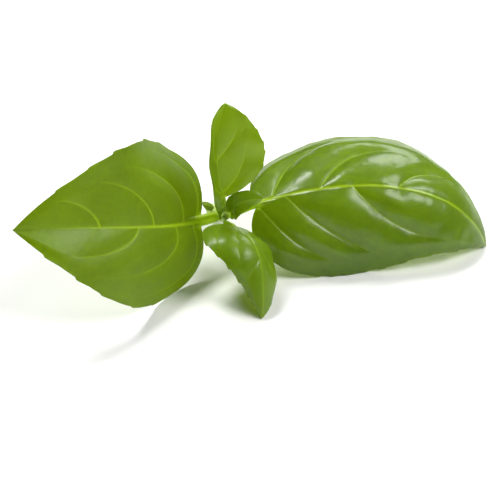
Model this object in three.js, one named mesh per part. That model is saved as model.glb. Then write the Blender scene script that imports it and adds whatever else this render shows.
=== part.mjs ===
// The tip of a basil sprig, cut from its plant and laid down: a short stem that carries opposite
// leaves in pairs, each pair a quarter turn round from the last, and the buds that grow between them.
// Millimetres, +Z up. The sprig rests on the tips and margins of its big leaves and on the cut end
// of its stem, and its origin is the middle of its box at the height of the surface it rests on.
import * as THREE from "three";

// Stem
const STEM_LENGTH = 19.2; // from the cut end to the node of the big pair
const STEM_DIAMETER = 2.7;
const STEM_RISE = 34; // degrees above the surface
const STEM_HEADING = 11; // degrees round from -Y towards +X
const STEM_SQUARENESS = 0.07; // how far the four flats sink in, as a share of the radius
const NODE_SWELLING = 1.14; // a node's diameter over the stem's
const FIRST_INTERNODE = 3; // big pair to young pair
const SECOND_INTERNODE = 2.5; // young pair to leaflets
const YOUNG_STEM_DIAMETER = 2;
const TIP_STEM_DIAMETER = 1.3;
const TIP_STEM_LENGTH = 0.6; // above the leaflets' node

// Leaves
const BLADE_THICKNESS = 0.6;
const RIB_SINKS_BY = 0.25; // share of the blade over which the midrib sinks into the upper side
const RIB_TAPER = 0.8; // share of its radius that the midrib has lost at the tip
const GAP = 0.3; // left between each piece and the stem that it grows from

// Each leaf leaves its node in the direction `out`. Its midrib starts along the first step of `path`,
// and the steps are where the curve's two handles and its tip lie, seen from the leaf's root: they give
// the curve its form, and petiole plus blade gives it its length. `face` is where the upper side looks
// at the blade's base and at its tip. `fold` is how steeply each half starts down from the midrib, and
// `curl` how much further it has turned at its margin, in degrees at the base and at the tip, left half
// first. `margin` holds the two handles of each half's outline: along, as a share of the blade's length,
// and out, as a share of its width.
const LEAVES = {
  leaf_right: {
    node: "big", out: [1, 0.1, 0.1], petiole: 6.5, petioleDiameter: 2, blade: 61, width: 38,
    path: [[10.5, -1, 8], [48.7, 1.5, 16], [58.6, 3, -12.3]],
    face: [[-0.3, -0.25, 0.8], [0.95, -0.4, 0.45]],
    fold: [[9, 12], [24, 12]],
    curl: [[25, 38], [40, 58]],
    margin: [[[-0.17, 0.4], [0.54, 0.91]], [[-0.14, 0.32], [0.46, 1.06]]],
    color: 0x5f7f1a,
  },
  leaf_left: {
    node: "big", out: [-1, -0.1, -0.2], petiole: 3.7, petioleDiameter: 2, blade: 45.5, width: 36.5,
    path: [[-10, -8.5, 2.5], [-19.5, -18.5, 13], [-40, -23, 15]],
    face: [[0.42, -0.64, 0.58], [0.46, -0.63, 0.57]],
    fold: [[5, -14], [0, -21]],
    curl: [[43, 1], [37, -12]],
    margin: [[[-0.1, 0.58], [0.42, 0.72]], [[-0.36, 0.65], [0.41, 0.77]]],
    color: 0x647d24,
  },
  leaf_back: {
    node: "young", out: [0.05, 0.57, 0.82], petiole: 2.5, petioleDiameter: 1.4, blade: 22.2, width: 19,
    path: [[-1, 1, 5], [-3.3, 2, 13.2], [0.3, 6.7, 23.3]],
    face: [[0.2, -0.9, 0.1], [0.15, -0.8, 0.55]],
    fold: [[-54, -50], [-3, 1]],
    curl: [[-38, -36], [0, 1]],
    margin: [[[-0.26, 0.66], [0.87, 0.52]], [[0.03, 0.85], [0.97, 0.64]]],
    color: 0x739103,
  },
  leaf_front: {
    node: "young", out: [0.45, -0.55, -0.75], petiole: 1.9, petioleDiameter: 1.4, blade: 25.5, width: 18,
    path: [[4.6, -7.6, 3], [9.7, -12, 5.4], [8.1, -19.7, -13.2]],
    face: [[0.5, 0.5, 0.87], [0.22, -0.37, 0.26]],
    fold: [[-8, 19], [0, 21]],
    curl: [[22, 45], [57, 50]],
    margin: [[[-0.32, 0.37], [0.78, 0.74]], [[-0.16, 0.84], [0.39, 0.56]]],
    color: 0x6e8831,
  },
  leaflet_right: {
    node: "leaflets", out: [1, 0.1, 0.05], petiole: 1, petioleDiameter: 0.8, blade: 8.3, width: 4.8,
    path: [[0, -0.5, 4.3], [4.3, -0.3, 5.3], [6.5, 0.2, 4.4]],
    face: [[-0.7, -0.6, 0.35], [0.5, -0.55, 0.7]],
    fold: [[-12, -17], [-16, -14]],
    curl: [[3, 3], [1, 2]],
    margin: [[[-0.37, 0.96], [1.2, 0.43]], [[-0.45, 0.76], [0.87, 0.53]]],
    color: 0x617e01,
  },
  leaflet_left: {
    node: "leaflets", out: [-1, -0.2, -0.1], petiole: 0.5, petioleDiameter: 0.6, blade: 3.8, width: 2.4,
    path: [[-0.2, -0.6, 1.3], [0.1, -1, 2.6], [0.9, -1, 3.8]],
    face: [[0.9, -0.3, 0.3], [0.6, -0.5, -0.3]],
    fold: [[-14, -18], [-14, -18]],
    curl: [[-10, -14], [-10, -14]],
    margin: [[[-0.2, 0.7], [0.6, 0.6]], [[-0.2, 0.7], [0.6, 0.6]]],
    color: 0x5c7a06,
  },
};
// How finely a leaf is faceted, by the blade length that each row starts from.
const LEAF_DETAIL = [
  { from: 30, across: 14, along: 18, petioleRings: 3 },
  { from: 15, across: 12, along: 14, petioleRings: 3 },
  { from: 0, across: 6, along: 8, petioleRings: 2 },
];

// Buds
const BUDS = {
  tip_bud: { node: "tip", out: null, along: [0.1, -0.75, 0.65], length: 2.4, diameter: 1.3, color: 0x5a7800 },
  axil_bud_left: {
    node: "big", out: [-1, 0.35, 0.5], along: [-0.85, 0.25, 0.45], length: 3, diameter: 1.9, color: 0x93b51c,
  },
  axil_bud_right: {
    node: "big", out: [0.75, 0.55, 0.8], along: [0.6, 0.25, 0.75], length: 2.4, diameter: 1.5, color: 0x8aab1a,
  },
};

const vector = ([x, y, z]) => new THREE.Vector3(x, y, z);
const radians = THREE.MathUtils.degToRad;

// A closed surface through rings of equally many points, its first ring capped and its end at `apex`.
function loft(rings, apex) {
  const count = rings[0].length;
  const start = rings[0].reduce((sum, p) => sum.add(p), new THREE.Vector3()).divideScalar(count);
  const points = [start, ...rings.flat(), apex];
  const at = (ring, i) => 1 + ring * count + (i % count);
  const faces = [];
  for (let i = 0; i < count; i++) {
    faces.push(0, at(0, i + 1), at(0, i));
    for (let ring = 0; ring < rings.length - 1; ring++) {
      faces.push(at(ring, i), at(ring, i + 1), at(ring + 1, i + 1));
      faces.push(at(ring, i), at(ring + 1, i + 1), at(ring + 1, i));
    }
    faces.push(at(rings.length - 1, i), at(rings.length - 1, i + 1), points.length - 1);
  }
  return new THREE.BufferGeometry().setFromPoints(points).setIndex(faces);
}

// Two directions at right angles to `axis` and to each other.
function crossAxes(axis) {
  const side = new THREE.Vector3(1, 0, 0).addScaledVector(axis, -axis.x).normalize();
  return [side, new THREE.Vector3().crossVectors(axis, side)];
}

// Stem: nearly straight, four-cornered as in all the mint family, swollen at its nodes.
const rise = radians(STEM_RISE);
const heading = radians(STEM_HEADING);
const stemAxis = new THREE.Vector3(
  Math.cos(rise) * Math.sin(heading), -Math.cos(rise) * Math.cos(heading), Math.sin(rise),
);
const NODES = {
  big: { along: STEM_LENGTH, diameter: STEM_DIAMETER * NODE_SWELLING },
  young: { along: STEM_LENGTH + FIRST_INTERNODE, diameter: YOUNG_STEM_DIAMETER * NODE_SWELLING },
  leaflets: {
    along: STEM_LENGTH + FIRST_INTERNODE + SECOND_INTERNODE, diameter: TIP_STEM_DIAMETER * NODE_SWELLING,
  },
};
NODES.tip = { along: NODES.leaflets.along + TIP_STEM_LENGTH, diameter: TIP_STEM_DIAMETER };
const stemPoint = (along) => stemAxis.clone().multiplyScalar(along);

function stemGeometry() {
  const swellingLength = FIRST_INTERNODE / 2;
  const waist = 0.97; // the stub's narrowest diameter over the stem's
  const stations = [
    [0, STEM_DIAMETER], [STEM_LENGTH / 2, STEM_DIAMETER * waist],
    [NODES.big.along - swellingLength, STEM_DIAMETER],
    [NODES.big.along, NODES.big.diameter],
    [(NODES.big.along + NODES.young.along) / 2, (STEM_DIAMETER + YOUNG_STEM_DIAMETER) / 2],
    [NODES.young.along, NODES.young.diameter],
    [(NODES.young.along + NODES.leaflets.along) / 2, (YOUNG_STEM_DIAMETER + TIP_STEM_DIAMETER) / 2],
    [NODES.leaflets.along, NODES.leaflets.diameter],
    [NODES.tip.along - TIP_STEM_LENGTH / 6, TIP_STEM_DIAMETER * 0.8],
  ];
  const [side, up] = crossAxes(stemAxis);
  const sectionPoints = 16;
  const rings = stations.map(([along, diameter]) =>
    Array.from({ length: sectionPoints }, (_, i) => {
      const angle = (2 * Math.PI * i) / sectionPoints;
      const radius = (diameter / 2) * (1 + STEM_SQUARENESS * (Math.cos(4 * angle) - 1) * 0.5);
      return stemPoint(along)
        .addScaledVector(side, radius * Math.cos(angle))
        .addScaledVector(up, radius * Math.sin(angle));
    }));
  return loft(rings, stemPoint(NODES.tip.along));
}

// The midrib's course: a cubic whose form is given by `path` and whose length is petiole plus blade.
function midribCurve(root, path, length) {
  const formLength = new THREE.CubicBezierCurve3(new THREE.Vector3(), ...path.map(vector)).getLength();
  const scale = length / formLength;
  const curve = new THREE.CubicBezierCurve3(
    root, ...path.map((step) => root.clone().addScaledVector(vector(step), scale)),
  );
  curve.arcLengthDivisions = 400;
  return curve;
}

// Leaf: petiole, midrib and blade in one body.
function leafGeometry(leaf) {
  const detail = LEAF_DETAIL.find(({ from }) => leaf.blade >= from);
  const petioleRadius = leaf.petioleDiameter / 2;
  const start = vector(leaf.path[0]).normalize();
  const out = vector(leaf.out).addScaledVector(stemAxis, -vector(leaf.out).dot(stemAxis)).normalize();
  const clear = NODES[leaf.node].diameter / 2 + GAP + petioleRadius * Math.sqrt(1 - start.dot(out) ** 2);
  const root = stemPoint(NODES[leaf.node].along).addScaledVector(out, clear);
  const midrib = midribCurve(root, leaf.path, leaf.petiole + leaf.blade);
  const faces = leaf.face.map((face) => vector(face).normalize());
  const outlines = leaf.margin.map(([first, second]) =>
    new THREE.CubicBezierCurve(
      new THREE.Vector2(0, 0),
      new THREE.Vector2(first[0] * leaf.blade, first[1] * leaf.width),
      new THREE.Vector2(second[0] * leaf.blade, second[1] * leaf.width),
      new THREE.Vector2(leaf.blade, 0),
    ));
  const halfWidths = leaf.margin.map(([first, second]) => 0.375 * leaf.width * (first[1] + second[1]));

  // The midrib's point and directions at `along`, measured from the blade's base.
  function frameAt(along) {
    const share = (along + leaf.petiole) / (leaf.petiole + leaf.blade);
    const inside = THREE.MathUtils.clamp(share, 0, 1);
    const tangent = midrib.getTangentAt(inside);
    const origin = midrib.getPointAt(inside)
      .addScaledVector(tangent, (share - inside) * (leaf.petiole + leaf.blade));
    const towardsTip = THREE.MathUtils.clamp(along / leaf.blade, 0, 1);
    const normal = faces[0].clone().lerp(faces[1], towardsTip);
    normal.addScaledVector(tangent, -normal.dot(tangent)).normalize();
    return { origin, normal, side: new THREE.Vector3().crossVectors(tangent, normal), towardsTip };
  }

  // A point of the blade: `across` is measured from the midrib along the curved section, and `lift`
  // raises the point off the middle of the blade's thickness, towards its upper side.
  function surfacePoint(along, across, lift) {
    const { origin, normal, side, towardsTip } = frameAt(along);
    const half = across < 0 ? 0 : 1;
    const outward = half ? 1 : -1;
    const fold = radians(THREE.MathUtils.lerp(...leaf.fold[half], towardsTip));
    const curl = radians(THREE.MathUtils.lerp(...leaf.curl[half], towardsTip)) / halfWidths[half] || 1e-6;
    const turned = fold + curl * Math.abs(across);
    const reach = (Math.sin(turned) - Math.sin(fold)) / curl;
    const drop = (Math.cos(turned) - Math.cos(fold)) / curl;
    return origin
      .addScaledVector(side, outward * (reach + lift * Math.sin(turned)))
      .addScaledVector(normal, drop + lift * Math.cos(turned));
  }

  // One closed section, from margin to margin over the upper side and back under the lower one. It
  // crosses the midrib at `midribAlong`, and `rib` is the radius of the midrib or petiole there.
  function sectionRing(midribAlong, marginAt, rib) {
    const point = (step, upper) => {
      const half = step < 0 ? 0 : 1;
      const share = Math.abs(step / (detail.across / 2)) ** 1.5; // closer together near the midrib
      const margin = marginAt(half);
      const across = margin.across * share;
      const along = THREE.MathUtils.lerp(midribAlong, margin.along, share);
      const round = Math.sqrt(Math.max(0, rib ** 2 - across ** 2));
      const thin = (BLADE_THICKNESS / 2) * Math.sqrt(1 - share ** 2);
      const upperRound = round * THREE.MathUtils.clamp(1 - midribAlong / (leaf.blade * RIB_SINKS_BY), 0, 1);
      const lift = upper ? Math.max(thin, upperRound) : -Math.max(thin, round);
      return surfacePoint(along, Math.sign(step) * across, lift);
    };
    const half = detail.across / 2;
    const ring = [];
    for (let step = -half; step <= half; step++) ring.push(point(step, true));
    for (let step = half - 1; step > -half; step--) ring.push(point(step, false));
    return ring;
  }

  const rings = [];
  for (let i = 0; i < detail.petioleRings; i++) {
    const along = -leaf.petiole * (1 - i / detail.petioleRings);
    rings.push(sectionRing(along, () => ({ along, across: petioleRadius }), petioleRadius));
  }
  for (let i = 1; i < detail.along; i++) {
    const row = i / detail.along;
    const along = leaf.blade * row ** 2;
    const rib = petioleRadius * (1 - (RIB_TAPER * along) / leaf.blade);
    rings.push(sectionRing(along, (half) => {
      const margin = outlines[half].getPoint(row);
      return { along: margin.x, across: Math.max(margin.y, rib) };
    }, rib));
  }
  return loft(rings, frameAt(leaf.blade).origin);
}

// Bud: a pointed spindle, its base clear of the stem.
function budGeometry(bud) {
  const axis = vector(bud.along).normalize();
  const { along, diameter } = NODES[bud.node];
  const root = stemPoint(along);
  if (bud.out) {
    const out = vector(bud.out).addScaledVector(stemAxis, -vector(bud.out).dot(stemAxis)).normalize();
    root.addScaledVector(out, diameter / 2 + GAP + bud.diameter * 0.35);
  } else {
    root.addScaledVector(stemAxis, GAP);
  }
  const [side, up] = crossAxes(axis);
  const profile = [[0, 0.55], [0.15, 0.85], [0.35, 1], [0.6, 0.85], [0.85, 0.45]];
  const sectionPoints = 10;
  const rings = profile.map(([share, width]) =>
    Array.from({ length: sectionPoints }, (_, i) => {
      const angle = (2 * Math.PI * i) / sectionPoints;
      const radius = (bud.diameter / 2) * width;
      return root.clone().addScaledVector(axis, share * bud.length)
        .addScaledVector(side, radius * Math.cos(angle))
        .addScaledVector(up, radius * Math.sin(angle));
    }));
  return loft(rings, root.clone().addScaledVector(axis, bud.length));
}

function piece(name, geometry, color) {
  const mesh = new THREE.Mesh(geometry, new THREE.MeshStandardMaterial({ color, roughness: 0.45 }));
  mesh.name = name;
  return mesh;
}

const pieces = new THREE.Group();
pieces.add(piece("stem", stemGeometry(), 0x8fae11));
for (const [name, leaf] of Object.entries(LEAVES)) pieces.add(piece(name, leafGeometry(leaf), leaf.color));
for (const [name, bud] of Object.entries(BUDS)) pieces.add(piece(name, budGeometry(bud), bud.color));

// The origin goes to the middle of the box, at its foot.
const box = new THREE.Box3().setFromObject(pieces);
pieces.position.set(-(box.min.x + box.max.x) / 2, -(box.min.y + box.max.y) / 2, -box.min.z);

const sprig = new THREE.Group();
sprig.add(pieces);

export default sprig;
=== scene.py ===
"""The tip of a basil sprig, lying on a pale floor: stem, leaves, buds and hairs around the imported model.

Sizes are in millimetres and angles in degrees, as a grower or a model maker would give them. Meshes are
in metres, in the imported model's own frame.
"""

import logging
import math
import random
from dataclasses import dataclass, field
from enum import Enum

import bmesh
import bpy
import numpy as np
from mathutils import Matrix, Vector, noise


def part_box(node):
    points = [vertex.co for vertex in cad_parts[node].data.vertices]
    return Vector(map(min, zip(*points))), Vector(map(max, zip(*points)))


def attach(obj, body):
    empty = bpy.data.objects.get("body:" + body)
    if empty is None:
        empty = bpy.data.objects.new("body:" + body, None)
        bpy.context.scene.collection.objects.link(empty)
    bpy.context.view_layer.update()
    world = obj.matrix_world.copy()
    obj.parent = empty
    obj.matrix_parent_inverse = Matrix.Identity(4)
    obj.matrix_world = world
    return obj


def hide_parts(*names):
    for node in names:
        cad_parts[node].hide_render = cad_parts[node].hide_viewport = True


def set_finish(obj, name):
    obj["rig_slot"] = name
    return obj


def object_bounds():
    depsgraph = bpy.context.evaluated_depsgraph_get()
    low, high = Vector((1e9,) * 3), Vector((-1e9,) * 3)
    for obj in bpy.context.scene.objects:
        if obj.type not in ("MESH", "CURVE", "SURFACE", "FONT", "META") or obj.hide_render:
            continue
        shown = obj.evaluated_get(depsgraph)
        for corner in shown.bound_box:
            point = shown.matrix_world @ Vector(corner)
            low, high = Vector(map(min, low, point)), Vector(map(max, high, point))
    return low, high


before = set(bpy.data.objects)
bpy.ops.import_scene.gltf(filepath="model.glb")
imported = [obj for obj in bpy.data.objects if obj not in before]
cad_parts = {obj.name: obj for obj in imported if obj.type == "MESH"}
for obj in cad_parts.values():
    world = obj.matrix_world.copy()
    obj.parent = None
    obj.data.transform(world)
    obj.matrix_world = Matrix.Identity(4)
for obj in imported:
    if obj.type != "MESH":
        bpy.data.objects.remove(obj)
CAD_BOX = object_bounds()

log = logging.getLogger("basil_sprig")

MM = 0.001  # metres in a millimetre
UV_SPAN = 100.0  # millimetres of flat leaf that one unit of the UV map covers
BODY = "root"


# ---------------------------------------------------------------------------------------------- finishes


def linear(hex_colour: str) -> tuple[float, float, float, float]:
    """Turns an sRGB colour into the linear one that shaders take.

    Args:
        hex_colour: Six hex digits, with or without a leading #.

    Returns:
        Red, green, blue and alpha, each from 0 to 1.
    """
    digits = hex_colour.lstrip("#")
    parts = [int(digits[i : i + 2], 16) / 255 for i in (0, 2, 4)]
    return (*(p / 12.92 if p <= 0.04045 else ((p + 0.055) / 1.055) ** 2.4 for p in parts), 1.0)


def add_node(tree: bpy.types.NodeTree, kind: str, sockets: dict | None = None, **settings) -> bpy.types.Node:
    """Adds one shader node, sets it up and links it.

    Args:
        tree: The material's or world's node tree.
        kind: The node's type, without the leading ShaderNode.
        sockets: Input name or number to a value, or to the output socket that feeds it.
        **settings: The node's own properties.

    Returns:
        The new node.
    """
    node = tree.nodes.new("ShaderNode" + kind)
    for name, value in settings.items():
        setattr(node, name, value)
    for key, value in (sockets or {}).items():
        if isinstance(value, bpy.types.NodeSocket):
            tree.links.new(value, node.inputs[key])
        else:
            node.inputs[key].default_value = value
    return node


def new_material(name: str) -> bpy.types.Material:
    """Makes an empty node material of that name."""
    material = bpy.data.materials.new(name)
    material.use_nodes = True
    material.node_tree.nodes.clear()
    return material


MIX_FACTOR, MIX_A, MIX_B, MIX_RESULT = 0, 6, 7, 2  # a colour Mix node's sockets


def mixed(tree: bpy.types.NodeTree, factor, first, second, blend: str = "MIX") -> bpy.types.NodeSocket:
    """Mixes two colours and returns the result's socket.

    Args:
        tree: The material's node tree.
        factor: Share of the second colour, a number or a socket.
        first: A colour or a socket.
        second: A colour or a socket.
        blend: The Mix node's blend type.

    Returns:
        The mixed colour's socket.
    """
    node = add_node(
        tree, "Mix", {MIX_FACTOR: factor, MIX_A: first, MIX_B: second}, data_type="RGBA", blend_type=blend
    )
    return node.outputs[MIX_RESULT]


@dataclass(frozen=True)
class LeafTissue:
    """Fresh basil leaf: a thin cuticle of plant wax over green cells that let light through.

    The wax gives a soft satin gloss, and the cells a yellower green by transmitted light than by
    reflected light. The underside has no gloss and is paler.
    """

    name: str
    upper: str = "#4b6004"
    deep: str = "#314203"
    under: str = "#7c9524"
    vein: str = "#b2cd21"
    glow: str = "#e0f80e"
    clearness: float = 0.42
    roughness: float = 0.5
    wax: float = 1.0
    wax_roughness: float = 0.25
    patch: float = 13.0
    veinlet_cell: float = 2.1
    grain: float = 0.28
    relief: float = 0.032

    def side(self, underside: bool) -> bpy.types.Material:
        """Makes the material of one side of the leaf.

        Args:
            underside: True for the lower side.

        Returns:
            The material.
        """
        material = new_material(self.name + ("_underside" if underside else "_upper_side"))
        tree = material.node_tree
        plan = add_node(tree, "UVMap", uv_map="plan").outputs["UV"]
        vein = add_node(tree, "Attribute", attribute_name="vein").outputs["Fac"]

        patches = add_node(tree, "TexNoise", {"Vector": plan, "Scale": UV_SPAN / self.patch, "Detail": 3.0})
        base = linear(self.under) if underside else linear(self.upper)
        deep = linear(self.under) if underside else linear(self.deep)
        share = add_node(
            tree, "MapRange", {"Value": patches.outputs["Fac"], "From Min": 0.35, "From Max": 0.65}
        )
        tissue = mixed(tree, share.outputs["Result"], base, deep)

        # The net of veinlets: cells about two millimetres wide with paler seams.
        warp = add_node(tree, "TexNoise", {"Vector": plan, "Scale": UV_SPAN / 1.6, "Detail": 2.0})
        bent = mixed(tree, 0.012, plan, warp.outputs["Color"])
        net = add_node(
            tree, "TexVoronoi", {"Vector": bent, "Scale": UV_SPAN / self.veinlet_cell}, feature="DISTANCE_TO_EDGE"
        )
        seam = add_node(
            tree,
            "MapRange",
            {"Value": net.outputs["Distance"], "From Min": 0.0, "From Max": 0.11, "To Min": 1.0, "To Max": 0.0},
            interpolation_type="SMOOTHSTEP",
        )
        faint = add_node(tree, "Math", {0: seam.outputs["Result"], 1: 0.08}, operation="MULTIPLY")
        tissue = mixed(tree, faint.outputs[0], tissue, linear(self.vein))
        colour = mixed(tree, vein, tissue, linear(self.vein))

        grain = add_node(tree, "TexNoise", {"Vector": plan, "Scale": UV_SPAN / self.grain, "Detail": 2.0})
        dome = add_node(
            tree,
            "MapRange",
            {"Value": net.outputs["Distance"], "From Min": 0.0, "From Max": 0.4},
            interpolation_type="SMOOTHSTEP",
        )
        height = add_node(
            tree,
            "Math",
            {0: grain.outputs["Fac"], 1: 0.35, 2: dome.outputs["Result"]},
            operation="MULTIPLY_ADD",
        )
        bump = add_node(
            tree,
            "Bump",
            {"Height": height.outputs[0], "Strength": 0.55, "Distance": self.relief * MM},
            invert=underside,
        )
        body = add_node(
            tree,
            "BsdfPrincipled",
            {
                "Base Color": colour,
                "Roughness": self.roughness + (0.2 if underside else 0.0),
                "Specular IOR Level": 0.15,
                "Coat Weight": 0.0 if underside else self.wax,
                "Coat Roughness": self.wax_roughness,
                "Coat IOR": 1.5,
                "Normal": bump.outputs["Normal"],
                "Coat Normal": bump.outputs["Normal"],
            },
        )
        through = add_node(tree, "BsdfTranslucent", {"Color": linear(self.glow), "Normal": bump.outputs["Normal"]})
        blend = add_node(
            tree, "MixShader", {0: self.clearness, 1: body.outputs["BSDF"], 2: through.outputs["BSDF"]}
        )
        add_node(tree, "OutputMaterial", {"Surface": blend.outputs["Shader"]})
        return material


@dataclass(frozen=True)
class GreenStem:
    """Young basil stem: watery green tissue under a thin skin, with pale flecks and a soft gloss."""

    name: str = "green_stem_skin"
    skin: str = "#b4cf2b"
    fleck: str = "#cae259"
    glow: str = "#bee122"
    clearness: float = 0.25
    roughness: float = 0.45
    fleck_size: float = 0.5

    def material(self) -> bpy.types.Material:
        """Makes the material."""
        material = new_material(self.name)
        tree = material.node_tree
        place = add_node(tree, "TexCoord").outputs["Object"]
        flecks = add_node(
            tree, "TexNoise", {"Vector": place, "Scale": 1 / (self.fleck_size * MM), "Detail": 2.0}
        ).outputs["Fac"]
        share = add_node(tree, "MapRange", {"Value": flecks, "From Min": 0.42, "From Max": 0.7})
        colour = mixed(tree, share.outputs["Result"], linear(self.skin), linear(self.fleck))
        bump = add_node(tree, "Bump", {"Height": flecks, "Strength": 0.4, "Distance": 0.08 * MM})
        body = add_node(
            tree,
            "BsdfPrincipled",
            {
                "Base Color": colour,
                "Roughness": self.roughness,
                "IOR": 1.42,
                "Normal": bump.outputs["Normal"],
            },
        )
        through = add_node(tree, "BsdfTranslucent", {"Color": linear(self.glow)})
        blend = add_node(
            tree, "MixShader", {0: self.clearness, 1: body.outputs["BSDF"], 2: through.outputs["BSDF"]}
        )
        add_node(tree, "OutputMaterial", {"Surface": blend.outputs["Shader"]})
        return material


@dataclass(frozen=True)
class MattePaper:
    """Seamless studio paper: matt, nearly white."""

    name: str = "matt_white_paper"
    colour: str = "#f6f6f4"
    roughness: float = 0.9
    fibre: float = 1.2

    def material(self) -> bpy.types.Material:
        """Makes the material."""
        material = new_material(self.name)
        tree = material.node_tree
        place = add_node(tree, "TexCoord").outputs["Object"]
        fibres = add_node(tree, "TexNoise", {"Vector": place, "Scale": 1 / (self.fibre * MM)}).outputs["Fac"]
        bump = add_node(tree, "Bump", {"Height": fibres, "Strength": 0.05, "Distance": 0.02 * MM})
        body = add_node(
            tree,
            "BsdfPrincipled",
            {
                "Base Color": linear(self.colour),
                "Roughness": self.roughness,
                "Specular IOR Level": 0.2,
                "Normal": bump.outputs["Normal"],
            },
        )
        add_node(tree, "OutputMaterial", {"Surface": body.outputs["BSDF"]})
        return material


# -------------------------------------------------------------------------------------------- small maths


def unit(vectors: np.ndarray) -> np.ndarray:
    """Scales vectors to length one, along the last axis."""
    return vectors / np.linalg.norm(vectors, axis=-1, keepdims=True)


def bezier(points: np.ndarray, t: np.ndarray) -> np.ndarray:
    """Points of a cubic curve.

    Args:
        points: The curve's four control points, one a row.
        t: Where along the curve, from 0 to 1.

    Returns:
        One point for each t.
    """
    t = np.asarray(t, float)[..., None]
    return (1 - t) ** 3 * points[0] + 3 * (1 - t) ** 2 * t * points[1] + 3 * (1 - t) * t**2 * points[2] + t**3 * points[3]


def smoothstep(low: float, high: float, value: np.ndarray) -> np.ndarray:
    """Rises smoothly from 0 at low to 1 at high."""
    t = np.clip((value - low) / (high - low), 0, 1)
    return t * t * (3 - 2 * t)


def distance_to_line(points: np.ndarray, line: np.ndarray) -> tuple[np.ndarray, np.ndarray]:
    """Distance of flat points to a line of short straight steps.

    Args:
        points: Flat points, one a row.
        line: The line's points, one a row.

    Returns:
        For each point, its distance and how far along the line its nearest place is, from 0 to 1.
    """
    nearest, along = np.full(len(points), np.inf), np.zeros(len(points))
    for i, (start, end) in enumerate(zip(line[:-1], line[1:])):
        step = end - start
        share = np.clip((points - start) @ step / (step @ step), 0, 1)
        away = points - start - share[:, None] * step
        gap = np.hypot(away[:, 0], away[:, 1])
        closer = gap < nearest
        nearest[closer] = gap[closer]
        along[closer] = (i + share[closer]) / (len(line) - 1)
    return nearest, along


def place_vertices(bm: bmesh.types.BMesh, millimetres: np.ndarray) -> None:
    """Moves every vertex of a bmesh to its place, given in millimetres in the row frame."""
    for vert, place in zip(bm.verts, (millimetres * MM).tolist()):
        vert.co = place


def finish_piece(
    bm: bmesh.types.BMesh, name: str, slot: str, materials: list[bpy.types.Material], stands_for: str | None
) -> bpy.types.Object:
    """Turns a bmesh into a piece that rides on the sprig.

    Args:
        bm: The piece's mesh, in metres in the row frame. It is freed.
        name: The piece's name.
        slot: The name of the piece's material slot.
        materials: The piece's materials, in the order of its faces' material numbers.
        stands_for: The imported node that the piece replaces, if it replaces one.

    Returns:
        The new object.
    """
    for face in bm.faces:
        face.smooth = True
    mesh = bpy.data.meshes.new(name)
    bm.to_mesh(mesh)
    bm.free()
    for material in materials:
        mesh.materials.append(material)
    piece = bpy.data.objects.new(name, mesh)
    bpy.context.scene.collection.objects.link(piece)
    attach(piece, BODY)
    if stands_for:
        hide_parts(stands_for)
    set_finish(piece, slot)
    log.info("%s: %d vertices, %d faces", name, len(mesh.vertices), len(mesh.polygons))
    return piece


# -------------------------------------------------------------------------------------------------- stem


class Node(Enum):
    """Where pieces leave the stem, from the cut end up."""

    BIG = "the big pair of leaves"
    YOUNG = "the young pair"
    LEAFLETS = "the two leaflets"
    TIP = "the growing tip"


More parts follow.
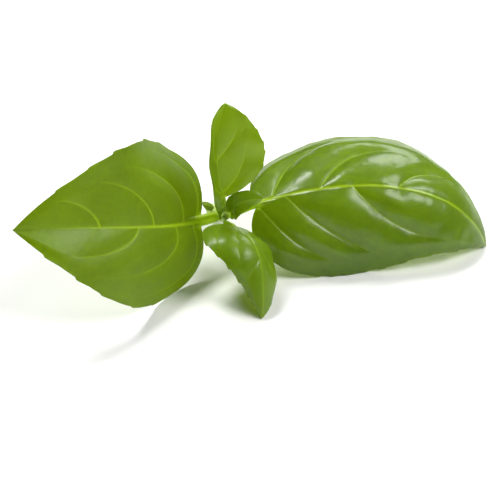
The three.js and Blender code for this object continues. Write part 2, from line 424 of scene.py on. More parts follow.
@dataclass
class Stem:
    """The short stem: four-cornered, swollen at its nodes, cut straight across at its lower end."""

    length: float = 19.2
    diameter: float = 2.7
    rise: float = 34.0
    heading: float = 11.0
    squareness: float = 0.07
    node_swelling: float = 1.14
    first_internode: float = 3.0
    second_internode: float = 2.5
    young_diameter: float = 2.0
    tip_diameter: float = 1.3
    tip_length: float = 0.6
    gap: float = 0.3
    steps_round: int = 48
    steps_along: int = 160
    node: str = "stem"
    shift: np.ndarray = field(init=False)

    def __post_init__(self) -> None:
        """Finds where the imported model's frame puts the stem."""
        self.shift = np.zeros(3)
        low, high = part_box(self.node)
        packed = (np.array(low) + np.array(high)) / 2 / MM
        angle, along = np.meshgrid(np.linspace(0, math.tau, 17), [s[0] for s in self.stations()])
        mine = self.skin(angle.ravel(), along.ravel())
        mine = np.vstack([mine, self.point(self.along(Node.TIP))])
        self.shift = packed - (mine.min(0) + mine.max(0)) / 2

    @property
    def axis(self) -> np.ndarray:
        """The stem's direction, from the cut end up."""
        rise, heading = math.radians(self.rise), math.radians(self.heading)
        return np.array(
            [math.cos(rise) * math.sin(heading), -math.cos(rise) * math.cos(heading), math.sin(rise)]
        )

    def along(self, node: Node) -> float:
        """How far a node is from the cut end."""
        young = self.length + self.first_internode
        leaflets = young + self.second_internode
        return {
            Node.BIG: self.length,
            Node.YOUNG: young,
            Node.LEAFLETS: leaflets,
            Node.TIP: leaflets + self.tip_length,
        }[node]

    def node_diameter(self, node: Node) -> float:
        """The stem's diameter at a node."""
        return {
            Node.BIG: self.diameter * self.node_swelling,
            Node.YOUNG: self.young_diameter * self.node_swelling,
            Node.LEAFLETS: self.tip_diameter * self.node_swelling,
            Node.TIP: self.tip_diameter,
        }[node]

    def point(self, along: float | np.ndarray) -> np.ndarray:
        """A point of the stem's axis, that far from the cut end."""
        return np.asarray(along, float)[..., None] * self.axis + self.shift

    def cross_axes(self, axis: np.ndarray) -> tuple[np.ndarray, np.ndarray]:
        """Two directions at right angles to an axis and to each other."""
        side = unit(np.array([1.0, 0, 0]) - axis * axis[0])
        return side, np.cross(axis, side)

    def stations(self) -> list[tuple[float, float]]:
        """Pairs of distance from the cut end and diameter there."""
        big, young, leaflets = (self.along(n) for n in (Node.BIG, Node.YOUNG, Node.LEAFLETS))
        waist = 0.97
        return [
            (0, self.diameter),
            (self.length / 2, self.diameter * waist),
            (big - self.first_internode / 2, self.diameter),
            (big, self.node_diameter(Node.BIG)),
            ((big + young) / 2, (self.diameter + self.young_diameter) / 2),
            (young, self.node_diameter(Node.YOUNG)),
            ((young + leaflets) / 2, (self.young_diameter + self.tip_diameter) / 2),
            (leaflets, self.node_diameter(Node.LEAFLETS)),
            (self.along(Node.TIP) - self.tip_length / 6, self.tip_diameter * 0.8),
        ]

    def skin(self, angle: np.ndarray, along: np.ndarray, flutes: float = 0.0) -> np.ndarray:
        """Points of the stem's skin.

        Args:
            angle: Angle round the axis, in radians.
            along: Distance from the cut end.
            flutes: Depth of the shallow groove down the middle of each flat.

        Returns:
            One point for each pair of angle and distance.
        """
        places, diameters = zip(*self.stations())
        radius = np.interp(along, places, diameters) / 2
        corner = (np.cos(4 * angle) - 1) / 2
        radius = radius * (1 + self.squareness * corner) - flutes * corner**8
        side, up = self.cross_axes(self.axis)
        return (
            self.point(along)
            + (radius * np.cos(angle))[:, None] * side
            + (radius * np.sin(angle))[:, None] * up
        )

    def build(self, finish: GreenStem) -> bpy.types.Object:
        """Builds the stem.

        Args:
            finish: The stem's skin.

        Returns:
            The stem's object.
        """
        bm = bmesh.new()
        bmesh.ops.create_grid(bm, x_segments=self.steps_round, y_segments=self.steps_along, size=1.0)
        plan = np.array([v.co[:] for v in bm.verts])
        angle = (plan[:, 0] + 1) * math.pi
        last = self.stations()[-1][0]
        along = (plan[:, 1] + 1) / 2 * last
        ripple = 0.03 * np.sin(along * 2.3 + 2 * np.sin(angle)) * np.minimum(1, along / 2)
        place_vertices(bm, self.skin(angle, along, flutes=0.06) + ripple[:, None] * self.axis)
        bmesh.ops.remove_doubles(bm, verts=bm.verts, dist=1e-7)
        rims = [e for e in bm.edges if e.is_boundary]
        caps = bmesh.ops.holes_fill(bm, edges=rims, sides=0)["faces"]
        # The cut face: a rim of skin, then the softer pith, which dries back a little.
        pull = Vector(self.axis * 0.25 * MM)
        for cap in sorted(caps, key=lambda f: (f.calc_center_median() - Vector(self.point(0) * MM)).length)[:1]:
            bmesh.ops.inset_region(bm, faces=[cap], thickness=0.22 * MM, use_even_offset=True)
            bmesh.ops.translate(bm, verts=cap.verts[:], vec=pull)
            bmesh.ops.inset_region(bm, faces=[cap], thickness=0.5 * MM, use_even_offset=True)
        bmesh.ops.recalc_face_normals(bm, faces=bm.faces)
        return finish_piece(bm, "green_stem", "stem", [finish.material()], self.node)


# ------------------------------------------------------------------------------------------------ leaves


class Half(Enum):
    """The blade's halves, seen from above with the tip pointing away."""

    LEFT = 0
    RIGHT = 1


@dataclass(frozen=True)
class Vein:
    """A lateral vein, from the midrib out towards the margin.

    Each point is how far along, as a share of the blade's length, and how far out, as a share of its
    half's width.
    """

    half: Half
    start: float
    rise: tuple[float, float]
    arch: tuple[float, float]
    end: tuple[float, float]
    strength: float = 1.0


Pair = tuple[float, float]
Triple = tuple[float, float, float]


@dataclass
class Leaf:
    """A leaf: petiole, midrib and blade in one body."""

    name: str
    node: str
    joint: Node
    out: Triple
    petiole: float
    petiole_diameter: float
    blade: float
    width: float
    path: tuple[Triple, Triple, Triple]
    face: tuple[Triple, Triple]
    fold: tuple[Pair, Pair]
    curl: tuple[Pair, Pair]
    margin: tuple[tuple[Pair, Pair], tuple[Pair, Pair]]
    veins: tuple[Vein, ...]
    slot: str = "leaf"
    thickness: float = 0.32
    quilting: float = 0.4
    quilt_reach: float = 3.2
    groove: float = 0.12
    vein_width: float = 0.18
    vein_show: float = 1.0
    wave: float = 0.3
    wave_length: float = 17.0
    tooth: float = 0.4
    teeth: int = 5
    steps_across: int = 170
    steps_along: int = 250
    heel: float = 1.0
    seed: int = 1

    def attach(self, stem: Stem) -> None:
        """Finds the leaf's root on the stem and lays out its midrib.

        Args:
            stem: The stem that the leaf grows from.
        """
        axis = stem.axis
        out = np.array(self.out, float)
        out = unit(out - out @ axis * axis)
        start = unit(np.array(self.path[0], float))
        clear = (
            stem.node_diameter(self.joint) / 2
            + stem.gap
            + self.petiole_diameter / 2 * math.sqrt(1 - (start @ out) ** 2)
        )
        root = stem.point(stem.along(self.joint)) + out * clear
        steps = np.vstack([np.zeros(3), np.array(self.path, float)])
        self.curve_t = np.linspace(0, 1, 801)
        form = bezier(steps, self.curve_t)
        lengths = np.concatenate([[0], np.cumsum(np.linalg.norm(np.diff(form, axis=0), axis=1))])
        scale = (self.petiole + self.blade) / lengths[-1]
        self.curve_length = lengths * scale
        self.curve = root + steps * scale
        self.half_width = [0.375 * self.width * (m[0][1] + m[1][1]) for m in self.margin]

    def frame_at(self, along: np.ndarray) -> tuple[np.ndarray, np.ndarray, np.ndarray, np.ndarray]:
        """The midrib's point and directions.

        Args:
            along: Distance from the blade's base, negative in the petiole.

        Returns:
            Origin, normal, side and the share of the way to the tip, for each distance.
        """
        whole = self.petiole + self.blade
        run = along + self.petiole
        inside = np.clip(run, 0, whole)
        t = np.interp(inside, self.curve_length, self.curve_t)
        nudge = 1e-4
        ahead, behind = np.clip(t + nudge, 0, 1), np.clip(t - nudge, 0, 1)
        tangent = unit(bezier(self.curve, ahead) - bezier(self.curve, behind))
        origin = bezier(self.curve, t) + (run - inside)[:, None] * tangent
        share = np.clip(along / self.blade, 0, 1)
        base, tip = (unit(np.array(f, float)) for f in self.face)
        normal = base + (tip - base) * share[:, None]
        normal = unit(normal - (normal * tangent).sum(-1, keepdims=True) * tangent)
        return origin, normal, np.cross(tangent, normal), share

    def surface(self, along: np.ndarray, across: np.ndarray, lift: np.ndarray) -> np.ndarray:
        """Points on or off the blade.

        Args:
            along: Distance from the blade's base.
            across: Distance from the midrib along the curved section, negative in the left half.
            lift: Height above the middle of the blade's thickness, towards its upper side.

        Returns:
            One point for each set of distances.
        """
        origin, normal, side, share = self.frame_at(along)
        points = np.zeros_like(origin)
        for half in Half:
            outward = 1 if half is Half.RIGHT else -1
            chosen = across * outward >= 0
            fold = np.radians(self.fold[half.value][0] + np.diff(self.fold[half.value])[0] * share)
            curl = np.radians(self.curl[half.value][0] + np.diff(self.curl[half.value])[0] * share)
            curl = curl / self.half_width[half.value]
            curl = np.where(np.abs(curl) < 1e-6, 1e-6, curl)
            turned = fold + curl * np.abs(across)
            reach = (np.sin(turned) - np.sin(fold)) / curl + lift * np.sin(turned)
            drop = (np.cos(turned) - np.cos(fold)) / curl + lift * np.cos(turned)
            made = origin + outward * reach[:, None] * side + drop[:, None] * normal
            points[chosen] = made[chosen]
        return points

    def outline(self, half: Half) -> np.ndarray:
        """The half's toothed outline as flat points, evenly spaced from base to tip."""
        (a1, w1), (a2, w2) = self.margin[half.value]
        handles = np.array(
            [(0, 0), (a1 * self.blade, w1 * self.width), (a2 * self.blade, w2 * self.width), (self.blade, 0)]
        )
        line = bezier(handles, np.linspace(0, 1, 1200))
        run = np.concatenate([[0], np.cumsum(np.linalg.norm(np.diff(line, axis=0), axis=1))])
        run /= run[-1]
        even = np.linspace(0, 1, 1200)
        return np.stack([np.interp(even, run, line[:, i]) for i in (0, 1)], axis=-1)

    def serration(self, half: Half, run: np.ndarray) -> np.ndarray:
        """How far the teeth stand out of the smooth outline.

        Args:
            half: Which half.
            run: Where along the outline, from 0 at the base to 1 at the tip.

        Returns:
            The height of the toothed edge, for each place.
        """
        draw = random.Random(self.seed * 10 + half.value)
        height = np.zeros_like(run)
        for i in range(self.teeth):
            centre = 0.3 + 0.62 * (i + 0.5 + draw.uniform(-0.2, 0.2)) / self.teeth
            size = self.tooth * draw.uniform(0.5, 1.15)
            behind, ahead = 0.06, 0.008
            away = run - centre
            rise = np.where(away < 0, 1 + away / behind, 1 - away / ahead)
            height = np.maximum(height, size * smoothstep(0, 1, rise))
        return height

    def plan(self, u: np.ndarray, v: np.ndarray) -> tuple[np.ndarray, np.ndarray, np.ndarray]:
        """Lays the grid out on the flat leaf.

        Args:
            u: Across, from -1 at the left margin to 1 at the right one.
            v: Row, negative in the petiole, then from 0 at the blade's base to 1 at its tip.

        Returns:
            Along, across and the radius of the midrib or petiole, for each vertex.
        """
        share = np.abs(u) ** 1.2
        row = np.clip(v, 0, 1)
        midrib = self.blade * row**1.5
        taper = 0.8
        rib = self.petiole_diameter / 2 * (1 - taper * midrib / self.blade)
        margin_along, margin_across = np.zeros_like(u), np.zeros_like(u)
        for half in Half:
            chosen = (u < 0) if half is Half.LEFT else (u >= 0)
            line = self.outline(half)
            step = np.gradient(line, axis=0)
            facing = unit(np.stack([-step[:, 1], step[:, 0]], axis=-1))
            facing = facing * -1 if facing[600, 1] < 0 else facing
            even = np.linspace(0, 1, len(line))
            toothed = line + facing * self.serration(half, even)[:, None] * smoothstep(1.0, 0.97, even)[:, None]
            for target, i in ((margin_along, 0), (margin_across, 1)):
                smooth = np.interp(row, even, line[:, i])
                rough = np.interp(row, even, toothed[:, i])
                full = smooth + (rough - smooth) * np.clip((share - 0.86) / 0.14, 0, 1) ** 2
                target[chosen] = full[chosen]
        margin_across = np.maximum(margin_across, np.where(row < 0.5, rib, 0))
        along = midrib + (margin_along - midrib) * share
        across = margin_across * share
        stalk = v < 0
        along = np.where(stalk, v * (self.petiole + self.heel), along)
        across = np.where(stalk, rib * np.sin(np.abs(u) * math.pi / 2), across)
        return along, np.sign(u) * across, rib

    def vein_lines(self) -> list[tuple[np.ndarray, float]]:
        """Each lateral vein's line on the flat leaf, with its strength."""
        lines = []
        for vein in self.veins:
            wide = self.half_width[vein.half.value] * (1 if vein.half is Half.RIGHT else -1)
            points = np.array([(vein.start, 0), vein.rise, vein.arch, vein.end], float)
            points *= (self.blade, wide)
            lines.append((bezier(points, np.linspace(0, 1, 25)), vein.strength))
        return lines

    def valley(self, gap: np.ndarray) -> np.ndarray:
        """Depth of the valley beside a vein, from 1 at the vein to 0 far from it."""
        steep = np.exp(-((gap / (0.45 * self.quilt_reach)) ** 1.25))
        wide = np.exp(-((gap / self.quilt_reach) ** 2))
        return 0.6 * steep + 0.4 * wide

    def build(self, tissue: LeafTissue) -> bpy.types.Object:
        """Builds the leaf.

        Args:
            tissue: The leaf's finish.

        Returns:
            The leaf's object.
        """
        bm = bmesh.new()
        bmesh.ops.create_grid(bm, x_segments=self.steps_across, y_segments=self.steps_along, size=1.0)
        top = bmesh.ops.extrude_face_region(bm, geom=bm.faces[:], use_keep_orig=True)["geom"]
        bmesh.ops.translate(bm, verts=[g for g in top if isinstance(g, bmesh.types.BMVert)], vec=(0, 0, 1))
        bmesh.ops.recalc_face_normals(bm, faces=bm.faces)
        for face in bm.faces:
            face.material_index = 1 if face.normal.z < -0.5 else 0

        grid = np.array([v.co[:] for v in bm.verts])
        stalk_rows = 0.09
        rows = (grid[:, 1] + 1) / 2
        u = grid[:, 0]
        v = np.where(rows < stalk_rows, rows / stalk_rows - 1, (rows - stalk_rows) / (1 - stalk_rows))
        upper = grid[:, 2] > 0.5
        along, across, rib = self.plan(u, v)
        stalk = v < 0
        share = np.abs(u)
        flat = np.stack([along, across], axis=-1)

        # Each lateral vein draws a pale line and pulls the blade down into a valley, both fading
        # towards the vein's end.
        to_midrib = np.abs(across)
        outward = np.clip(along / self.blade, 0, 1)
        mark, crease = np.zeros(len(u)), np.zeros(len(u))
        swell = 1 - self.valley(to_midrib * 1.2) * (1 - 0.5 * outward)
        for line, strength in self.vein_lines():
            gap, run = distance_to_line(flat, line)
            fade = strength * (1 - smoothstep(0.45, 1.0, run))
            thin = self.vein_width * (1 - 0.35 * run)
            mark = np.maximum(mark, self.vein_show * (0.25 * strength * (1 - run) + 0.5 * fade) * np.exp(-((gap / thin) ** 2)))
            crease = np.maximum(crease, fade * np.exp(-((gap / (1.3 * thin)) ** 2)))
            swell *= 1 - self.valley(gap) * strength * (1 - smoothstep(0.55, 1.0, run))
        rib_width = np.maximum(0.33 * rib, 0.15)
        mark = np.maximum(mark, np.exp(-((to_midrib / rib_width) ** 2)) * (1 - 0.5 * outward))
        mark = np.where(stalk, 1.0, np.maximum(mark, 1 - smoothstep(0, 1.5, along) - smoothstep(rib.max(), 2 * rib.max(), to_midrib)))

        # The blade swells up between its veins, and ripples towards its margin.
        quilt = self.quilting * swell * (1 - smoothstep(0.7, 1.0, share))
        small = np.array([noise.noise(Vector((a * 0.33, c * 0.33, self.seed))) for a, c in flat.tolist()])
        quilt += 0.1 * self.quilting * small
        draw = random.Random(self.seed)
        phase = [draw.uniform(0, math.tau) for _ in range(2)]
        ripple = self.wave * share**2.5 * np.sin(math.tau * along / self.wave_length + np.where(u < 0, *phase))
        ripple *= smoothstep(0, 0.15, np.clip(v, 0, 1)) * smoothstep(1.0, 0.8, v)
        form = np.where(stalk, 0, quilt * smoothstep(0, 0.3 * self.blade, along + to_midrib) + ripple)

        thin = self.thickness / 2 * np.sqrt(1 - (0.95 * share**2) ** 2)
        round_part = np.sqrt(np.maximum(0, rib**2 - across**2))
        sink = np.clip(1 - along / (self.blade * 0.1), 0, 1)
        channel = 0.3 * rib * np.exp(-((to_midrib / (0.4 * rib)) ** 2))
        above = np.maximum(thin, round_part * np.where(stalk, 1, sink) - channel)
        above -= self.groove * np.maximum(crease, np.exp(-((to_midrib / 0.35) ** 2)) * (1 - sink) * (1 - 0.7 * outward)) * ~stalk
        below = np.maximum(thin, round_part) + np.where(stalk, 0, 0.8 * self.groove * crease)
        lift = form + np.where(upper, above, -below)
        places = self.surface(along, across, lift)
        # What would sink through the floor lies on it.
        clear = self.surface(along, across, form)[:, 2] - thin - CAD_BOX[0].z / MM
        places[:, 2] -= np.minimum(0, clear - 0.03)
        places[:, 2] = np.maximum(places[:, 2], CAD_BOX[0].z / MM + 0.02)
        place_vertices(bm, places)

        tint = bm.verts.layers.float.new("vein")
        uv = bm.loops.layers.uv.new("plan")
        for vert, value in zip(bm.verts, mark.tolist()):
            vert[tint] = value
        bm.verts.index_update()
        spread = (flat / UV_SPAN + 0.5).tolist()
        for face in bm.faces:
            for loop in face.loops:
                loop[uv].uv = spread[loop.vert.index]
        bmesh.ops.remove_doubles(bm, verts=bm.verts, dist=1e-7)
        return finish_piece(bm, self.name, self.slot, [tissue.side(False), tissue.side(True)], self.node)


# -------------------------------------------------------------------------------------------------- buds


@dataclass
class Bud:
    """A bud: two pairs of tiny cupped leaves, the second pair set crosswise inside the first."""

    name: str
    node: str
    joint: Node
    along: Triple
    length: float
    diameter: float
    out: Triple | None = None
    turn: float = 0.0

    def root(self, stem: Stem) -> np.ndarray:
        """The bud's foot, beside the stem or on its tip."""
        root = stem.point(stem.along(self.joint))
        if self.out is None:
            return root + stem.axis * stem.gap
        out = np.array(self.out, float)
        out = unit(out - out @ stem.axis * stem.axis)
        return root + out * (stem.node_diameter(self.joint) / 2 + stem.gap + self.diameter * 0.35)

    def build(self, stem: Stem, tissue: LeafTissue) -> bpy.types.Object:
        """Builds the bud.

        Args:
            stem: The stem that the bud grows from.
            tissue: The finish of its leaves.

        Returns:
            The bud's object.
        """
        axis = unit(np.array(self.along, float))
        side, up = stem.cross_axes(axis)
        root = self.root(stem)
        bm = bmesh.new()
        tint = bm.verts.layers.float.new("vein")
        bm.loops.layers.uv.new("plan")
        shells = [(0, 1.0, 1.0), (180, 0.96, 1.0), (90, 0.86, 0.86), (270, 0.9, 0.86)]
        for heading, tall, wide in shells:
            before = len(bm.verts)
            part = bmesh.ops.create_grid(bm, x_segments=18, y_segments=24, size=1.0)["verts"]
            faces = list({f for v in part for f in v.link_faces})
            top = bmesh.ops.extrude_face_region(bm, geom=faces, use_keep_orig=True)["geom"]
            bmesh.ops.translate(bm, verts=[g for g in top if isinstance(g, bmesh.types.BMVert)], vec=(0, 0, 1))
            bm.verts.ensure_lookup_table()
            mine = bm.verts[before:]
            grid = np.array([v.co[:] for v in mine])
            row = (grid[:, 1] + 1) / 2
            open_angle = np.radians(88) * np.sqrt(np.maximum(0, 1 - row**3)) * (1 - 0.15 * row)
            angle = math.radians(heading + self.turn) + grid[:, 0] * open_angle
            body = np.interp(row, [0, 0.15, 0.35, 0.6, 0.85, 1], [0.5, 0.8, 0.96, 0.85, 0.5, 0.06])
            fold = 0.12 * np.exp(-((grid[:, 0] / 0.16) ** 2))
            radius = self.diameter / 2 * body * (wide + fold) + np.where(grid[:, 2] > 0.5, 0, -0.12)
            places = (
                root
                + (row * self.length * tall)[:, None] * axis
                + (radius * np.cos(angle))[:, None] * side
                + (radius * np.sin(angle))[:, None] * up
            )
            for vert, place, shade in zip(mine, (places * MM).tolist(), np.abs(grid[:, 0]).tolist()):
                vert.co = place
                vert[tint] = 0.5 * math.exp(-((shade / 0.08) ** 2))
        bmesh.ops.recalc_face_normals(bm, faces=bm.faces)
        return finish_piece(bm, self.name, "bud", [tissue.side(False)], self.node)


# ------------------------------------------------------------------------------------------------- hairs


@dataclass
class Hairs:
    """Short soft hairs, as on young basil stems, petioles and buds."""

    name: str
    slot: str
    length: float
    thickness: float = 0.05
    seed: int = 3

    def build(self, roots: list[tuple[Vector, Vector]], finish: GreenStem) -> bpy.types.Object:
        """Grows one hair from each root.

        Args:
            roots: Pairs of place and outward direction, in metres in the row frame.
            finish: The hairs' finish.

        Returns:
            The hairs' object.
        """
        draw = random.Random(self.seed)
        bm = bmesh.new()
        for place, outward in roots:
            lean = Vector((draw.gauss(0, 0.35), draw.gauss(0, 0.35), draw.gauss(0, 0.35)))
            direction = (outward + lean).normalized()
            tall = self.length * draw.uniform(0.5, 1.2) * MM
            turn = direction.to_track_quat("Z", "Y").to_matrix().to_4x4()
            bmesh.ops.create_cone(
                bm,
                cap_ends=True,
                segments=3,
                radius1=self.thickness / 2 * MM,
                radius2=self.thickness / 10 * MM,
                depth=tall,
                matrix=Matrix.Translation(place + direction * tall * 0.45) @ turn,
            )
        return finish_piece(bm, self.name, self.slot, [finish.material()], None)


def roots_on(piece: bpy.types.Object, count: int, seed: int, keep) -> list[tuple[Vector, Vector]]:
    """Picks places on a piece for hairs, by area.

    Args:
        piece: The piece that the hairs grow on.
        count: How many.
        seed: Fixes the choice.
        keep: Says whether a face's centre may carry hairs.

    Returns:
        Pairs of place and outward direction.
    """
    draw = random.Random(seed)
    faces = [p for p in piece.data.polygons if keep(p)]
    picked = draw.choices(faces, weights=[p.area for p in faces], k=count)
    return [(p.center.copy(), p.normal.copy()) for p in picked]


# ------------------------------------------------------------------------------------------------ studio


@dataclass
class Studio:
    """A pale floor, soft daylight-like light from behind and to the left, and the camera."""

    floor_size: float = 4.0
    aim: Triple = (-2.81, 5.45, 0.31)
    camera_elevation: float = 40.0
    camera_distance: float = 320.0
    focal_length: float = 100.15
    distance: float = 0.8
    key_heading: float = -42.0
    key_rise: float = 62.0
    key_power: float = 5.4
    back_heading: float = 25.0
    back_rise: float = 34.0
    back_power: float = 3.1
    right_heading: float = 104.0
    right_rise: float = 49.0
    right_power: float = 5.6
    ambient: float = 0.03

    def floor(self) -> None:
        """Lays the floor at the height that the sprig rests on."""
        bm = bmesh.new()
        bmesh.ops.create_grid(bm, x_segments=8, y_segments=8, size=self.floor_size / 2)
        mesh = bpy.data.meshes.new("floor")
        bm.to_mesh(mesh)
        bm.free()
        mesh.materials.append(MattePaper().material())
        floor = bpy.data.objects.new("floor", mesh)
        floor.location.z = CAD_BOX[0].z
        bpy.context.scene.collection.objects.link(floor)

    def softbox(self, name: str, heading: float, rise: float, size: Pair, power: float) -> None:
        """Hangs one rectangular light that faces the sprig.

        Args:
            name: The light's name.
            heading: Where it hangs, clockwise from straight behind the sprig, seen from above.
            rise: How high above the floor it hangs, seen from the sprig.
            size: Its width and height, in metres.
            power: Its power, in watts.
        """
        data = bpy.data.lights.new(name, "AREA")
        data.shape = "RECTANGLE"
        data.size, data.size_y = size
        data.energy = power
        heading, rise = math.radians(heading), math.radians(rise)
        away = Vector((math.sin(heading) * math.cos(rise), math.cos(heading) * math.cos(rise), math.sin(rise)))
        light = bpy.data.objects.new(name, data)
        light.location = away * self.distance
        light.rotation_mode = "QUATERNION"
        light.rotation_quaternion = away.to_track_quat("Z", "Y")
        bpy.context.scene.collection.objects.link(light)

    def lights(self) -> None:
        """Sets the key light, the wide lights behind and to the right, and the ambient light."""
        self.softbox("key_softbox", self.key_heading, self.key_rise, (0.4, 0.16), self.key_power)
        self.softbox("back_softbox", self.back_heading, self.back_rise, (0.44, 0.25), self.back_power)
        self.softbox("right_softbox", self.right_heading, self.right_rise, (0.42, 0.36), self.right_power)
        world = bpy.data.worlds.new("white_room")
        world.use_nodes = True
        world.node_tree.nodes.clear()
        sky = add_node(world.node_tree, "Background", {"Color": (1, 1, 1, 1), "Strength": self.ambient})
        add_node(world.node_tree, "OutputWorld", {"Surface": sky.outputs["Background"]})
        bpy.context.scene.world = world

    def camera(self) -> None:
        """Sets the camera, in front and above."""
        data = bpy.data.cameras.new("camera")
        data.lens = self.focal_length
        data.sensor_width = 36.0
        data.clip_start, data.clip_end = 0.01, 20.0
        camera = bpy.data.objects.new("camera", data)
        rise = math.radians(self.camera_elevation)
        back = Vector((0, -math.cos(rise), math.sin(rise)))
        camera.location = Vector(self.aim) * MM + back * self.camera_distance * MM
        camera.rotation_mode = "QUATERNION"
        camera.rotation_quaternion = (-back).to_track_quat("-Z", "Y")
        bpy.context.scene.collection.objects.link(camera)
        bpy.context.scene.camera = camera

    def build(self) -> None:
        """Sets up the whole studio."""
        bpy.context.scene.view_settings.view_transform = "Standard"
        self.floor()
        self.lights()
        self.camera()


# ------------------------------------------------------------------------------------------------- sprig

L, R = Half.LEFT, Half.RIGHT

BIG_RIGHT = Leaf(
    name="big_leaf_right",
    node="leaf_right",
    joint=Node.BIG,
    out=(1, 0.1, 0.1),
    petiole=6.5,
    petiole_diameter=2,
    blade=61,
    width=38,
    path=((10.5, -1, 8), (48.7, 1.5, 16), (58.6, 3, -12.3)),
    face=((-0.3, -0.25, 0.8), (0.95, -0.4, 0.45)),
    fold=((9, 12), (28, 12)),
    curl=((25, 38), (40, 58)),
    margin=(((-0.2, 0.44), (0.54, 0.91)), ((-0.3, 0.42), (0.46, 1.03))),
    veins=(
        Vein(R, -0.01, (0.06, 0.45), (0.14, 0.8), (0.4, 0.94)),
        Vein(R, 0.1, (0.19, 0.38), (0.33, 0.82), (0.66, 0.78)),
        Vein(R, 0.35, (0.43, 0.34), (0.6, 0.62), (0.87, 0.26)),
        Vein(L, 0.05, (0.1, 0.4), (0.16, 0.9), (0.4, 0.86)),
        Vein(L, 0.23, (0.28, 0.25), (0.38, 0.82), (0.6, 0.42)),
        Vein(L, 0.52, (0.56, 0.2), (0.64, 0.42), (0.78, 0.3)),
    ),
    quilting=1.2,
    quilt_reach=2.8,
    groove=0.18,
    vein_show=0.7,
    wave=0.15,
    tooth=0.36,
    teeth=7,
    seed=4,
)
BIG_LEFT = Leaf(
    name="big_leaf_left",
    node="leaf_left",
    joint=Node.BIG,
    out=(-1, -0.1, -0.2),
    petiole=3.7,
    petiole_diameter=2.5,
    blade=45.5,
    width=36.5,
    path=((-10, -8.5, 2.5), (-19.5, -18.5, 13), (-40, -23, 15)),
    face=((0.42, -0.64, 0.58), (0.46, -0.63, 0.57)),
    fold=((5, -14), (0, -21)),
    curl=((43, 1), (37, -12)),
    margin=(((-0.1, 0.58), (0.42, 0.72)), ((-0.36, 0.65), (0.41, 0.77))),
    veins=(
        Vein(R, 0.59, (0.62, 0.16), (0.7, 0.32), (0.84, 0.3)),
        Vein(R, 0.29, (0.29, 0.24), (0.42, 0.54), (0.72, 0.5)),
        Vein(R, 0.11, (0.04, 0.4), (0.18, 0.68), (0.55, 0.68)),
        Vein(R, 0.04, (-0.12, 0.4), (-0.08, 1.0), (0.42, 0.84)),
        Vein(L, 0.38, (0.4, 0.2), (0.55, 0.42), (0.82, 0.32)),
        Vein(L, 0.16, (0.1, 0.3), (0.22, 0.66), (0.66, 0.6)),
        Vein(L, 0.05, (-0.02, 0.5), (0.04, 0.98), (0.54, 0.83)),
    ),
    quilting=0.42,
    groove=0.08,
    quilt_reach=2.8,
    wave=0.15,
    seed=7,
)
YOUNG_BACK = Leaf(
    name="young_leaf_back",
    node="leaf_back",
    joint=Node.YOUNG,
    out=(0.05, 0.57, 0.82),
    petiole=2.5,
    petiole_diameter=1.4,
    blade=22.2,
    width=19,
    path=((-1, 1, 5), (-3.3, 2, 13.2), (0.3, 6.7, 23.3)),
    face=((0.2, -0.9, 0.1), (0.15, -0.8, 0.55)),
    fold=((-54, -50), (-3, 1)),
    curl=((-38, -36), (0, 1)),
    margin=(((-0.55, 0.6), (0.87, 0.52)), ((0.03, 0.85), (0.97, 0.64))),
    veins=(
        Vein(R, 0.06, (0.12, 0.4), (0.42, 0.72), (0.75, 0.56)),
        Vein(R, 0.42, (0.5, 0.2), (0.7, 0.44), (0.88, 0.36)),
        Vein(L, 0.06, (0.12, 0.4), (0.4, 0.7), (0.7, 0.56)),
        Vein(L, 0.38, (0.46, 0.2), (0.66, 0.4), (0.84, 0.36)),
    ),
    slot="young_leaf",
    thickness=0.26,
    quilting=0.22,
    quilt_reach=1.9,
    groove=0.05,
    vein_width=0.18,
    vein_show=1.3,
    wave=0.18,
    wave_length=8,
    tooth=0.28,
    teeth=5,
    steps_across=100,
    steps_along=140,
    heel=1.2,
    seed=11,
)
YOUNG_FRONT = Leaf(
    name="young_leaf_front",
    node="leaf_front",
    joint=Node.YOUNG,
    out=(0.45, -0.55, -0.75),
    petiole=1.9,
    petiole_diameter=1.4,
    blade=25.5,
    width=18,
    path=((4.6, -7.6, 3), (9.7, -12, 5.4), (8.1, -19.7, -13.2)),
    face=((0.5, 0.5, 0.87), (0.22, -0.37, 0.26)),
    fold=((-8, 19), (0, 21)),
    curl=((22, 45), (57, 50)),
    margin=(((-0.32, 0.37), (0.78, 0.74)), ((-0.16, 0.84), (0.39, 0.56))),
    veins=(
        Vein(R, 0.03, (0.0, 0.5), (0.12, 0.85), (0.42, 0.8)),
        Vein(R, 0.1, (0.18, 0.3), (0.3, 0.5), (0.56, 0.5)),
        Vein(R, 0.48, (0.53, 0.16), (0.6, 0.36), (0.76, 0.36)),
        Vein(L, 0.08, (0.12, 0.4), (0.3, 0.75), (0.55, 0.66)),
        Vein(L, 0.36, (0.42, 0.2), (0.56, 0.5), (0.76, 0.4)),
    ),
    slot="young_leaf",
    thickness=0.26,
    quilting=0.36,
    quilt_reach=2.2,
    groove=0.09,
    vein_width=0.16,
    vein_show=0.5,
    wave=0.2,
    wave_length=9,
    tooth=0.32,
    teeth=5,
    steps_across=110,
    steps_along=150,
    heel=1.2,
    seed=13,
)
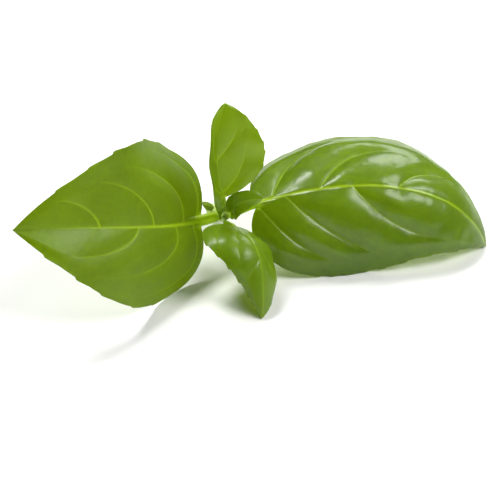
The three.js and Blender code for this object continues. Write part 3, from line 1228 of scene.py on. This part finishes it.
LEAFLET_RIGHT = Leaf(
    name="small_leaflet_right",
    node="leaflet_right",
    joint=Node.LEAFLETS,
    out=(1, 0.1, 0.05),
    petiole=1,
    petiole_diameter=0.8,
    blade=8.3,
    width=4.8,
    path=((0, -0.5, 4.3), (4.3, -0.3, 5.3), (6.5, 0.2, 4.4)),
    face=((-0.7, -0.6, 0.35), (0.5, -0.55, 0.7)),
    fold=((-12, -17), (-16, -14)),
    curl=((3, 3), (1, 2)),
    margin=(((-0.37, 0.96), (1.2, 0.43)), ((-0.45, 0.76), (0.87, 0.53))),
    veins=(
        Vein(R, 0.15, (0.2, 0.3), (0.4, 0.6), (0.6, 0.55)),
        Vein(L, 0.15, (0.2, 0.3), (0.4, 0.6), (0.6, 0.55)),
    ),
    slot="young_leaf",
    thickness=0.22,
    quilting=0.08,
    quilt_reach=1.0,
    groove=0.03,
    vein_width=0.12,
    wave=0.06,
    wave_length=4,
    tooth=0.08,
    teeth=4,
    steps_across=60,
    steps_along=80,
    heel=0.7,
    seed=17,
)
LEAFLET_LEFT = Leaf(
    name="small_leaflet_left",
    node="leaflet_left",
    joint=Node.LEAFLETS,
    out=(-1, -0.2, -0.1),
    petiole=0.5,
    petiole_diameter=0.6,
    blade=3.8,
    width=2.4,
    path=((-0.2, -0.6, 1.3), (0.1, -1, 2.6), (0.9, -1, 3.8)),
    face=((0.9, -0.3, 0.3), (0.6, -0.5, -0.3)),
    fold=((-14, -18), (-14, -18)),
    curl=((-10, -14), (-10, -14)),
    margin=(((-0.2, 0.7), (0.6, 0.6)), ((-0.2, 0.7), (0.6, 0.6))),
    veins=(
        Vein(R, 0.15, (0.2, 0.3), (0.4, 0.6), (0.6, 0.55)),
        Vein(L, 0.15, (0.2, 0.3), (0.4, 0.6), (0.6, 0.55)),
    ),
    slot="young_leaf",
    thickness=0.2,
    quilting=0.05,
    quilt_reach=0.6,
    groove=0.02,
    vein_width=0.1,
    wave=0.03,
    wave_length=2,
    tooth=0.04,
    teeth=3,
    steps_across=40,
    steps_along=50,
    heel=0.5,
    seed=19,
)
MATURE = LeafTissue("mature_basil_leaf")
WORN = LeafTissue("mature_basil_leaf_worn_wax", wax=0.5, wax_roughness=0.36)
YOUNG = LeafTissue(
    "young_basil_leaf",
    upper="#67830a",
    deep="#4c6506",
    vein="#a5c027",
    glow="#d5eb0c",
    clearness=0.5,
    wax_roughness=0.3,
)
BUDDING = LeafTissue("budding_basil_leaf", upper="#adc92a", deep="#98b520", vein="#c1dd3d", glow="#e4f51d", clearness=0.5)
LEAVES = (
    (BIG_RIGHT, MATURE),
    (BIG_LEFT, WORN),
    (YOUNG_BACK, YOUNG),
    (YOUNG_FRONT, YOUNG),
    (LEAFLET_RIGHT, YOUNG),
    (LEAFLET_LEFT, YOUNG),
)
BUDS = (
    Bud("growing_tip_bud", "tip_bud", Node.TIP, (0.1, -0.75, 0.65), 2.4, 1.3),
    Bud("left_axil_bud", "axil_bud_left", Node.BIG, (-0.85, 0.25, 0.45), 3.0, 1.9, out=(-1, 0.35, 0.5), turn=40),
    Bud("right_axil_bud", "axil_bud_right", Node.BIG, (0.6, 0.25, 0.75), 2.4, 1.5, out=(0.75, 0.55, 0.8), turn=20),
)


def grow_hairs(stem: bpy.types.Object, leaves: list[bpy.types.Object], buds: list[bpy.types.Object]) -> None:
    """Grows the hairs of the stem, the petioles and the buds.

    Args:
        stem: The stem's object.
        leaves: The leaves' objects.
        buds: The buds' objects.
    """
    skin = GreenStem(name="plant_hair", skin="#d3e685", fleck="#e2eeab", clearness=0.5)
    Hairs("stem_hairs", "stem", 0.45).build(roots_on(stem, 420, 21, lambda p: True), skin)
    for leaf in leaves[:4]:
        tint = leaf.data.attributes["vein"].data
        mesh = leaf.data
        near = roots_on(leaf, 150, 22, lambda p: all(tint[v].value > 0.97 for v in mesh.polygons[p.index].vertices))
        Hairs(leaf.name + "_hairs", leaf["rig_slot"], 0.4, seed=5).build(near, skin)
    for bud in buds:
        Hairs(bud.name + "_hairs", "bud", 0.4, seed=6).build(roots_on(bud, 90, 23, lambda p: True), skin)


def main() -> None:
    """Builds the sprig and the studio."""
    logging.basicConfig(level=logging.INFO, format="%(name)s: %(message)s")
    stem = Stem()
    stalk = stem.build(GreenStem())
    leaves = []
    for leaf, tissue in LEAVES:
        leaf.attach(stem)
        leaves.append(leaf.build(tissue))
    buds = [bud.build(stem, BUDDING) for bud in BUDS]
    grow_hairs(stalk, leaves, buds)
    Studio().build()


if __name__ == "__main__":
    main()
